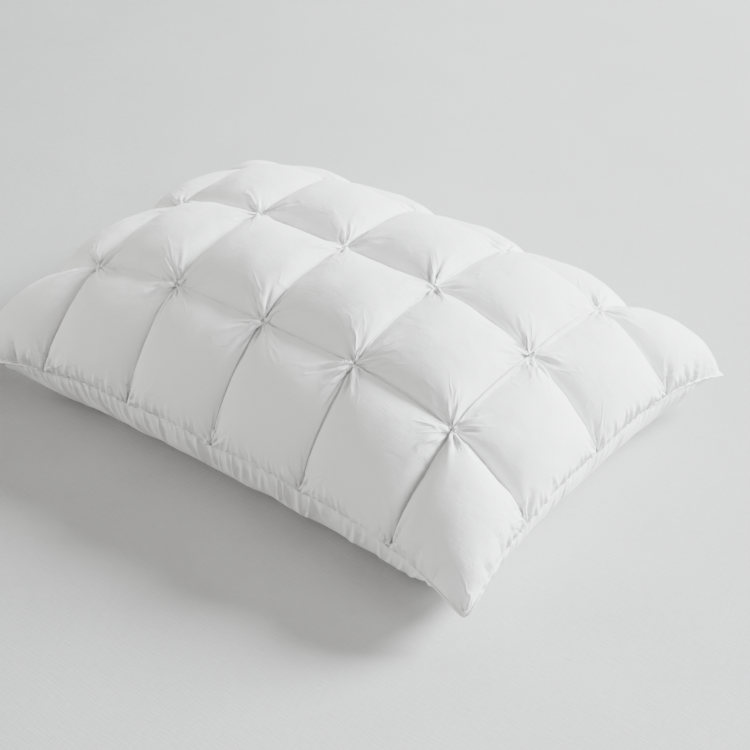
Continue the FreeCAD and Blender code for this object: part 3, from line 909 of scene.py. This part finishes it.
def make_bottom_cover(cotton):
    """The plain bottom: it lies flat in the middle and is puckered where it turns up to the edge seam."""
    lines = [np.linspace(-edge, edge, steps + 1) for edge, steps in zip(EDGE, BOTTOM_STEPS)]
    ring_u, ring_v = once_round((-EDGE[0], -EDGE[1]), EDGE, *lines)
    share = np.linspace(0, 1, BOTTOM_ROWS)[:, None] ** 1.25
    scale = 1 - BOTTOM_BAND * share
    band = underside(scale * ring_u, scale * ring_v)
    seam = seam_points(ring_u, ring_v) - [0, 0, SEAM_SPLIT]
    band += (seam - band[0]) * (1 - smoothstep(share / 0.6))[..., None]
    inwards = unit(np.cross(np.roll(band, -1, axis=1) - np.roll(band, 1, axis=1), np.gradient(band, axis=0)))
    along, down = run_lengths(seam), run_lengths(band)
    places = np.stack([np.broadcast_to(along, down.shape), down], axis=-1)
    height = pleated(places, band_puckers(along, ring_u)) + smooth_noise(places, 0.03, 0.0004)
    height *= smoothstep(down / 0.003) * np.clip(band[..., 2] / 0.008 - 0.1, 0, 1)
    band -= height[..., None] * inwards

    u, v = even_grid([edge * (0.99 - BOTTOM_BAND) for edge in EDGE], (110, 82))
    middle = underside(u, v)
    wrinkles = np.abs(smooth_noise(middle[..., :2], 0.03, 0.0003))
    middle[..., 2] += wrinkles * np.clip((1 - np.abs(u / u.max())) * (1 - np.abs(v / v.max())) * 8, 0, 1)
    backing = underside(*even_grid(EDGE, (121, 91)))
    backing += normals(backing) * BACKING_DEPTH
    for part in (band, middle):
        part[..., 2] = np.maximum(part[..., 2], 0.0001)
    parts = (band, band[..., :2] * 1.04), (middle, middle[..., :2]), (backing, backing[..., :2])
    cover = make_cover("bottom_cover_cloth", "bottom_cover", parts, BOTTOM_STEPS, True, cotton)


def band_puckers(along, ring_u):
    """Puckers from the edge seam down the turned-up band, deeper on the long sides."""
    pleats, place = [], 0.004
    while place < along[-1]:
        on_long_side = np.interp(place, along, np.abs(ring_u)) < EDGE[0] - 1e-6
        deep = rng.uniform(0.5, 1.25) * (1.0 if on_long_side else 0.45)
        leaning = [90 + rng.uniform(-12, 12)]
        rises = 0.0016 * deep, 0.0024 * deep
        pleats += fan(np.array([place, 0.0]), leaning, 0.003, (0.018, 0.066), (0.0017, 0.0034), rises)
        place += rng.uniform(0.0055, 0.0165)
    return pleats


def seam_loop(count):
    """Points once round the edge seam, evenly spaced, and their outward and upward directions."""
    lines = [np.linspace(-edge, edge, 4001) for edge in EDGE]
    rim = seam_points(*once_round((-EDGE[0], -EDGE[1]), EDGE, *lines))
    closed = np.concatenate([rim, rim[:1]])
    far = run_lengths(closed)
    loop = sampled(closed, far, np.arange(count) * far[-1] / count)
    along = np.roll(loop, -6, axis=0) - np.roll(loop, 6, axis=0)
    outwards = unit(np.cross(along, (0, 0, 1)))
    return loop, outwards, unit(np.cross(outwards, unit(along)))


def make_edge_seam(cotton):
    """The fold of both covers' edges, standing a little out all the way round."""
    count, sides = SEAM_RING
    loop, outwards, upwards = (part[:, None] for part in seam_loop(count))
    turn = np.arange(sides)[:, None] * 2 * math.pi / sides
    swell = 1 + 0.12 * np.sin(np.arange(count) * 0.9) * np.sin(np.arange(count) * 0.37)
    points = loop + outwards * (SEAM_HALF[0] * np.cos(turn) * swell[:, None, None] + SEAM_OUT)
    points += upwards * SEAM_HALF[1] * np.sin(turn)
    weave = flat_grid(np.arange(count) * 0.0015, np.arange(sides) * 0.0006)
    seam = make_object("edge_seam_fold", points, [quads(count, sides, (True, True))], weave)
    finish_piece(seam, "edge_seam", "cover_cotton", cotton)


# --- inside the covers


def layer_grid(margin):
    """u and v of an even grid that ends margin inside the edge seam."""
    last_cells = HALF_LENGTH[0] - 2 * PITCH[0], HALF_WIDTH[0] - PITCH[1]
    reach = [edge - margin / last for edge, last in zip(EDGE, last_cells)]
    u, v = even_grid(reach, (90, 66))
    pull = 1 - CORNER_PULL * np.abs(u * v / (reach[0] * reach[1])) ** 4
    return u * pull, v * pull


def make_panel(name, node, surface, inwards, depth, look):
    """A thin cloth panel that follows a surface at a depth inside it. look is a slot name, which is not
    used, and its material.
    """
    points = surface + inwards * depth
    middles = points[:, points.shape[1] // 2], points[points.shape[0] // 2]
    lengths = tuple(float(run_lengths(line)[-1]) for line in middles)
    weave = flat_grid(*[np.linspace(0, length, count) for length, count in zip(lengths, points.shape)])
    far = points + inwards * PANEL_THICKNESS
    upper, lower = (points, far) if inwards[45, 33, 2] < 0 else (far, points)
    panel = finish_piece(closed_layer(name, upper, lower, weave), node, *look)


def make_linings(lining_cloth, casing_cloth):
    """The lining that the tucks are sewn through, and the two panels of the inner casing."""
    u, v = layer_grid(LINING_MARGIN)
    top, down = crown(u, v), -directions(u, v)[2]
    look = "lining_cloth", lining_cloth
    make_panel("quilt_lining_sheet", "quilt_lining", top, down, LINING_DEPTH, look)
    u, v = layer_grid(CASING_MARGIN)
    top, down, base = crown(u, v), -directions(u, v)[2], underside(u, v)
    look = "casing_cloth", casing_cloth
    make_panel("casing_top_panel", "inner_casing_top", top, down, CASING_DEPTH[0], look)
    up = normals(base)
    make_panel("casing_bottom_panel", "inner_casing_bottom", base, up, CASING_DEPTH[1], look)


def make_feather_core(feathers):
    """The loose filling in its casing, a little lumpy."""
    u, v = layer_grid(CORE_MARGIN)
    top, base = crown(u, v), underside(u, v)
    weave = top[..., :2]
    lumps = 0.0012 * np.abs(smooth_noise(weave, 0.03, waves=16))
    upper = top - directions(u, v)[2] * (CORE_DEPTH[0] + lumps)[..., None]
    lower = base + normals(base) * (CORE_DEPTH[1] + lumps)[..., None]
    filling = closed_layer("feather_core_filling", upper, lower, weave)
    core = finish_piece(filling, "feather_core", "feather_fill", feathers)


def make_down_pads(cover, u, v, down):
    """A pad of down in each cell, as high as the cover lets it be."""
    ceiling = cover - PAD_GAP[1] * normals(cover)
    upright = directions(u, v)[2]
    floor = crown(u, v) - PAD_GAP[0] * upright
    across, along = even_grid((1, 1), (15, 15))
    rounded = across * (1 - 0.12 * along**2), along * (1 - 0.12 * across**2)
    for row in range(CELLS[1]):
        for cell in range(CELLS[0]):
            i, j = ((k + 0.5) * n + r * (n / 2 - PAD_INSET) for k, n, r in zip((cell, row), GRID, rounded))
            lower, upper, up = between(floor, i, j), between(ceiling, i, j), between(upright, i, j)
            height = ((upper - lower) * up).sum(axis=-1)
            upper += np.maximum(0, 0.001 - height)[..., None] * up
            name = f"down_pad_row{row + 1}_cell{cell + 1}"
            pad = closed_layer(f"{name}_fill", upper, lower, lower[..., :2])
            finish_piece(pad, name, "quilting_down", down)


# --- stitches and label


def make_tuck_threads(u, v, thread):
    """The running stitch low down in each tuck's fold, from side to side of it, and deeper at the knots."""
    ways = directions(u, v)
    surface = crown(u, v)
    for axis, word in ((0, "cross"), (1, "long")):
        for number in range(1, CELLS[axis]):
            line = grid_line(axis, number * GRID[axis])
            grids = surface, ways[axis], ways[2], (v, u)[axis]
            low, side, rise, cell = (grid[line][THREAD_ENDS] for grid in grids)
            far = run_lengths(low)
            places = np.arange(0, far[-1], THREAD_STEP)
            path, side, rise = (sampled(line, far, places) for line in (low, side, rise))
            swing = np.sin(2 * math.pi * places / STITCH_LENGTH)[:, None]
            cell = np.interp(places, far, cell)
            buried = smoothstep((np.abs(cell - np.round(cell)) * PITCH[1 - axis] - 0.004) / 0.015)[:, None]
            path += rise * (0.0001 + 0.0007 * buried) + side * 0.00022 * swing
            piece = make_threads(f"{word}_tuck_stitching_{number}", [tube(path, THREAD_RADIUS, rise)])
            finish_piece(piece, f"{word}_tuck_thread_{number}", "sewing_thread", thread)


def make_pinch_tacks(thread):
    """Each knot's thread, wound round the bundle of cloth that it draws together."""
    turn = np.linspace(0, 2 * math.pi * 2.6, 80)[:, None]
    tubes = []
    for i, j in KNOTS:
        along_u, along_v, up = directions(np.float64(i), np.float64(j))
        start = rng.uniform(0, 2 * math.pi)
        radius = 0.0027 + 0.0003 * np.sin(3 * turn + start)
        height = 0.0010 + 0.0013 * turn / turn[-1] + 0.0004 * np.sin(turn + start)
        path = crown(np.float64(i), np.float64(j)) + height * up
        path += radius * (np.cos(turn + start) * along_u + np.sin(turn + start) * along_v)
        tubes.append(tube(path, TACK_RADIUS, up))
    finish_piece(make_threads("knot_wraps", tubes), "pinch_tacks", "sewing_thread", thread)


def make_closing_stitches(thread):
    """Whip stitches over the seam where the filling went in, at the middle of the short side at the back."""
    loop, outwards, upwards = seam_loop(4000)
    low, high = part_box("closing_stitches")
    turn = np.linspace(0, 2 * math.pi, 20, endpoint=False)[:, None]
    tubes = []
    for place in np.linspace(low[1] + 0.003, high[1] - 0.003, CLOSING_COUNT):
        at = int(np.argmin(np.abs(loop[:, 1] - place) + (loop[:, 0] > 0)))
        along = unit(loop[(at + 1) % len(loop)] - loop[at - 1])
        path = loop[at] + outwards[at] * (0.0004 + 0.0023 * np.cos(turn))
        path += upwards[at] * 0.0013 * np.sin(turn) + along * 0.0016 * np.sin(turn) ** 2
        tubes.append(tube(path, WHIP_RADIUS, along, closed=True))
    finish_piece(make_threads("closing_whip_stitches", tubes), "closing_stitches", "sewing_thread", thread)


def make_care_label(tape):
    """A blank folded tape, sewn into the seam of the long side at the back and hanging from it."""
    low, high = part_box("care_label")
    width, drop = high[0] - low[0], high[2] - low[2]
    loop, outwards, _ = seam_loop(4000)
    at = int(np.argmin(np.abs(loop[:, 0] - (low[0] + high[0]) / 2) + (loop[:, 1] < 0)))
    anchor = loop[at] - outwards[at] * 0.001
    length = drop / math.sin(LABEL_SLOPE)
    down = outwards[at] * math.cos(LABEL_SLOPE) - np.array([0, 0, math.sin(LABEL_SLOPE)])
    away = outwards[at] * math.sin(LABEL_SLOPE) + np.array([0, 0, math.cos(LABEL_SLOPE)])
    along = unit(np.cross(away, down))
    t = np.linspace(0, 1, 61)
    bend = 1 - 2 * LABEL_FLAP
    half_turn = math.pi * np.clip((t - LABEL_FLAP) / bend, 0, 1)
    in_bend = np.abs(t - 0.5) < bend / 2
    reach = length * np.minimum(t, 1 - t) / LABEL_FLAP
    reach = np.where(in_bend, length + LABEL_FOLD * np.sin(half_turn), reach)
    apart = LABEL_FOLD * np.cos(half_turn) * smoothstep(reach / 0.004) + 0.0004 * np.cos(half_turn)
    curl = 0.0030 * np.sin(math.pi * np.clip(reach / length, 0, 1) * 0.8)
    across = np.linspace(-0.5, 0.5, 17)
    cup = 0.0012 * (4 * across**2 - 0.4)
    points = anchor + down * reach[:, None, None] + along * (across * width)[None, :, None]
    points += away * (apart[:, None] + curl[:, None] + cup[None, :] * (reach / length)[:, None])[..., None]
    facing = normals(points)
    weave = flat_grid(t * 2 * length, across * width)
    label = closed_layer("care_label_tape", points + facing * 0.0001, points - facing * 0.0001, weave)
    finish_piece(label, "care_label", "label_tape", tape)


# --- materials


class Look:
    """A material, with short ways to add nodes to it."""

    def __init__(self, name, roughness, sheen=0.0):
        self.material = bpy.data.materials.new(name)
        self.material.use_nodes = True
        self.tree = self.material.node_tree
        self.shader = self.tree.nodes["Principled BSDF"]
        self.shader.inputs["Roughness"].default_value = roughness
        self.shader.inputs["Sheen Weight"].default_value = sheen
        self.shader.inputs["Sheen Roughness"].default_value = 0.5
        self.shader.inputs["Specular IOR Level"].default_value = 0.25

    def wears(self, socket, value):
        """Joins a node's output to the shader."""
        self.tree.links.new(value, self.shader.inputs[socket])

    def node(self, kind, output, settings=None, **inputs):
        """An output of a new node. Each input is set to a value or joined to another node's output."""
        made = self.tree.nodes.new("ShaderNode" + kind)
        for name, value in (settings or {}).items():
            setattr(made, name, value)
        for name, value in inputs.items():
            socket = made.inputs[int(name[1:])] if name[0] == "_" else made.inputs[name.replace("_", " ")]
            if isinstance(value, bpy.types.NodeSocket):
                self.tree.links.new(value, socket)
            else:
                socket.default_value = value
        return made.outputs[output]

    def maths(self, operation, *values):
        inputs = {f"_{k}": value for k, value in enumerate(values)}
        return self.node("Math", "Value", {"operation": operation}, **inputs)

    def vectors(self, operation, *values, output="Vector", **more):
        inputs = {f"_{k}": value for k, value in enumerate(values)}
        return self.node("VectorMath", output, {"operation": operation}, **inputs, **more)

    def noise(self, place, scale, detail, **more):
        return self.node("TexNoise", "Fac", Vector=place, Scale=scale, Detail=detail, **more)

    def ranged(self, value, **ends):
        return self.node("MapRange", "Result", Value=value, **ends)

    def bump(self, height, distance, strength=1.0, **normal):
        return self.node("Bump", "Normal", Strength=strength, Distance=distance, Height=height, **normal)

    def shades(self, factor, dark, light):
        """A colour between two, by a factor."""
        color = self.node("ValToRGB", "Color", Fac=factor)
        for element, place, shade in zip(color.node.color_ramp.elements, (0.3, 0.7), (dark, light)):
            element.position = place
            element.color = (*shade, 1)
        return color


def woven_cloth(name, dark, light, thread, crumple, roughness=0.8, sheen=0.2, creased=False):
    """Plain-woven cloth: threads both ways, uneven ones here and there, and fine crumples."""
    look = Look(name, roughness, sheen)
    flat = look.node("UVMap", "UV", {"uv_map": "weave"})
    wave = {"Vector": flat, "Scale": 0.314 / thread, "Distortion": 0.6, "Detail": 1.0}
    threads = [look.node("TexWave", "Fac", {"bands_direction": way}, **wave) for way in "XY"]
    slubs, others = (look.noise(look.vectors("MULTIPLY", flat, streak), 1.0, 2.0) for streak in SLUB_STREAKS)
    tone = look.maths("ADD", slubs, others)
    look.wears("Base Color", look.shades(look.maths("MULTIPLY", tone, 0.5), dark, light))
    look.wears("Roughness", look.ranged(slubs, To_Min=roughness - 0.08, To_Max=roughness + 0.08))
    crumples = look.noise(flat, 1 / crumple, 2.0, Roughness=0.45, Distortion=0.4)
    facing = look.bump(tone, SLUB_DEPTH, Normal=look.bump(crumples, crumple * 0.055))
    if creased:
        facing = look.bump(knot_creases(look, flat), CREASE_DEPTH, Normal=facing)
    look.wears("Normal", look.bump(look.maths("ADD", *threads), thread * 0.12, 0.4, Normal=facing))
    return look.material


def knot_creases(look, flat):
    """Height of sharp creases that run out from each knot of the quilted cover, each to its own length."""
    pitch = [size + FOLD_CLOTH for size in FLAT_CELL]
    cells = look.vectors("MULTIPLY", flat, (1 / pitch[0], 1 / pitch[1], 0))
    knot = look.vectors("FLOOR", look.vectors("ADD", cells, (0.5, 0.5, 0)))
    off = look.vectors("MULTIPLY", look.vectors("SUBTRACT", cells, knot), (*pitch, 0))
    away = look.vectors("LENGTH", off, output="Value")
    way = look.vectors("NORMALIZE", off)
    seed = look.vectors("MULTIPLY", knot, (7.3, 11.9, 0))
    wander = look.vectors("MULTIPLY", off, (30, 30, 0))
    layers = []
    for rate, first, last in CREASES:
        turned = look.vectors("ADD", look.vectors("SCALE", way, Scale=rate), seed)
        turned = look.vectors("ADD", turned, wander)
        from_line = look.maths("ABSOLUTE", look.maths("SUBTRACT", look.noise(turned, 1.0, 1.0), 0.5))
        ridge = look.maths("SUBTRACT", 1.0, look.maths("MULTIPLY", from_line, 11.0))
        ridge = look.maths("MAXIMUM", ridge, 0.0)
        longer = look.noise(turned, 0.7, 0.0)
        reach = look.ranged(longer, From_Min=0.35, From_Max=0.65, To_Min=last * 0.35, To_Max=last)
        fading = look.maths("MAXIMUM", look.maths("SUBTRACT", 1.0, look.maths("DIVIDE", away, reach)), 0.0)
        starting = look.ranged(away, From_Min=first * 0.5, From_Max=first)
        layers.append(look.maths("MULTIPLY", look.maths("MULTIPLY", ridge, fading), starting))
    return look.maths("ADD", *layers)


def loose_filling(name, dark, light, size, stretch=(1, 1, 1)):
    """Down or feathers: tufts of a size, soft and matt."""
    look = Look(name, 0.95, 0.5)
    place = look.vectors("MULTIPLY", look.node("TexCoord", "Object"), stretch)
    tufts = look.node("TexVoronoi", "Distance", Vector=place, Scale=1 / size)
    both = look.maths("ADD", tufts, look.noise(place, 6 / size, 6.0))
    look.wears("Base Color", look.shades(both, light, dark))
    look.wears("Normal", look.bump(both, size * 0.3, 0.7))
    return look.material


def twisted_thread(name, color):
    """Sewing thread, with the slanting lines of its twist."""
    look = Look(name, 0.55, 0.1)
    slanted = look.vectors("MULTIPLY", look.node("UVMap", "UV", {"uv_map": "weave"}), (1, 0.8, 1))
    settings = {"bands_direction": "DIAGONAL"}
    twist = look.node("TexWave", "Fac", settings, Vector=slanted, Scale=450.0, Distortion=0.5)
    look.wears("Base Color", look.shades(twist, tuple(0.82 * c for c in color), color))
    look.wears("Normal", look.bump(twist, 0.00006, 0.6))
    return look.material


def floor_linen():
    """A plain pale floor, with painted shade that darkens it to the left and far away, standing in for the
    lamps' light falling off there.
    """
    look = Look("floor_linen", 0.9)
    place = look.node("TexCoord", "Object")
    tone = look.noise(place, 9.0, 6.0)
    for lines in ((60, 700, 1), (700, 60, 1)):
        tone = look.maths("ADD", tone, look.noise(look.vectors("MULTIPLY", place, lines), 1.0, 2.0))
    tone = look.maths("DIVIDE", tone, 3.0)
    rightwards = look.vectors("DOT_PRODUCT", place, (0.79, 0.61, 0), output="Value")
    away = look.vectors("DOT_PRODUCT", place, (-0.61, 0.79, 0), output="Value")
    # painted shade: these factors darken the floor's colour to the left and far away, in place of light
    # falling off
    painted_shade_left = look.ranged(rightwards, From_Min=-0.5, From_Max=0.15, To_Min=0.715, To_Max=1.015)
    painted_shade_far = look.ranged(away, From_Min=0.2, From_Max=1.3, To_Min=1.0, To_Max=0.955)
    grain = look.shades(tone, (0.475, 0.475, 0.47), (0.585, 0.585, 0.58))
    painted_shade = look.maths("MULTIPLY", painted_shade_left, painted_shade_far)
    look.wears("Base Color", look.vectors("SCALE", grain, Scale=painted_shade))
    look.wears("Normal", look.bump(tone, 0.0014, 0.6))
    return look.material


# --- floor, light and camera


def make_camera():
    data = bpy.data.cameras.new("camera")
    data.sensor_width = 36
    data.lens = LENS
    camera = bpy.data.objects.new("camera", data)
    azimuth, elevation = CAMERA_ANGLES
    level = math.cos(elevation)
    back = Vector((math.sin(azimuth) * level, -math.cos(azimuth) * level, math.sin(elevation)))
    camera.location = Vector(CAMERA_TARGET) + CAMERA_DISTANCE * back
    camera.rotation_euler = back.to_track_quat("Z", "Y").to_euler()
    bpy.context.scene.collection.objects.link(camera)
    bpy.context.scene.camera = camera


def area_light(name, size, place, target, power, color):
    data = bpy.data.lights.new(name, "AREA")
    data.shape = "DISK"
    data.size = size
    data.energy = power
    data.color = color
    light = bpy.data.objects.new(name, data)
    light.location = place
    light.rotation_euler = (Vector(place) - Vector(target)).to_track_quat("Z", "Y").to_euler()
    bpy.context.scene.collection.objects.link(light)


def make_stage():
    corners = [(x * FLOOR_HALF, y * FLOOR_HALF, 0) for x, y in ((-1, -1), (1, -1), (1, 1), (-1, 1))]
    floor = make_object("floor", corners, [np.array([(0, 1, 2, 3)])])
    floor.data.materials.append(floor_linen())
    world = bpy.data.worlds.new("studio")
    world.use_nodes = True
    background = world.node_tree.nodes["Background"]
    background.inputs["Color"].default_value = WORLD_COLOR
    background.inputs["Strength"].default_value = WORLD_STRENGTH
    bpy.context.scene.world = world
    for light in LIGHTS:
        area_light(*light)


make_camera()
make_stage()
cotton = woven_cloth("white_cotton_percale", *WHITE, 0.00042, 0.022)
quilted_cotton = woven_cloth("quilted_cotton_percale", *WHITE, 0.00042, 0.022, creased=True)
lining_cloth = woven_cloth("lining_voile", (0.80, 0.80, 0.78), (0.85, 0.85, 0.83), 0.0006, 0.02, 0.85)
casing_cloth = woven_cloth("downproof_cambric", (0.83, 0.82, 0.78), (0.88, 0.87, 0.84), 0.00030, 0.015, 0.7)
tape = woven_cloth("satin_label_tape", (0.88, 0.88, 0.875), (0.92, 0.92, 0.915), 0.00025, 0.02, 0.45, 0.05)
down = loose_filling("white_down", (0.80, 0.79, 0.77), (0.90, 0.90, 0.89), 0.012)
feathers = loose_filling("feathers", (0.72, 0.69, 0.64), (0.88, 0.87, 0.84), 0.02, (1, 3, 2))
thread = twisted_thread("sewing_thread", (0.90, 0.90, 0.895))
cover_points, cover_u, cover_v = make_top_cover(quilted_cotton)
make_bottom_cover(cotton)
make_edge_seam(cotton)
make_linings(lining_cloth, casing_cloth)
make_down_pads(cover_points, cover_u, cover_v, down)
make_feather_core(feathers)
make_tuck_threads(cover_u, cover_v, thread)
make_pinch_tacks(thread)
make_closing_stitches(thread)
make_care_label(tape)
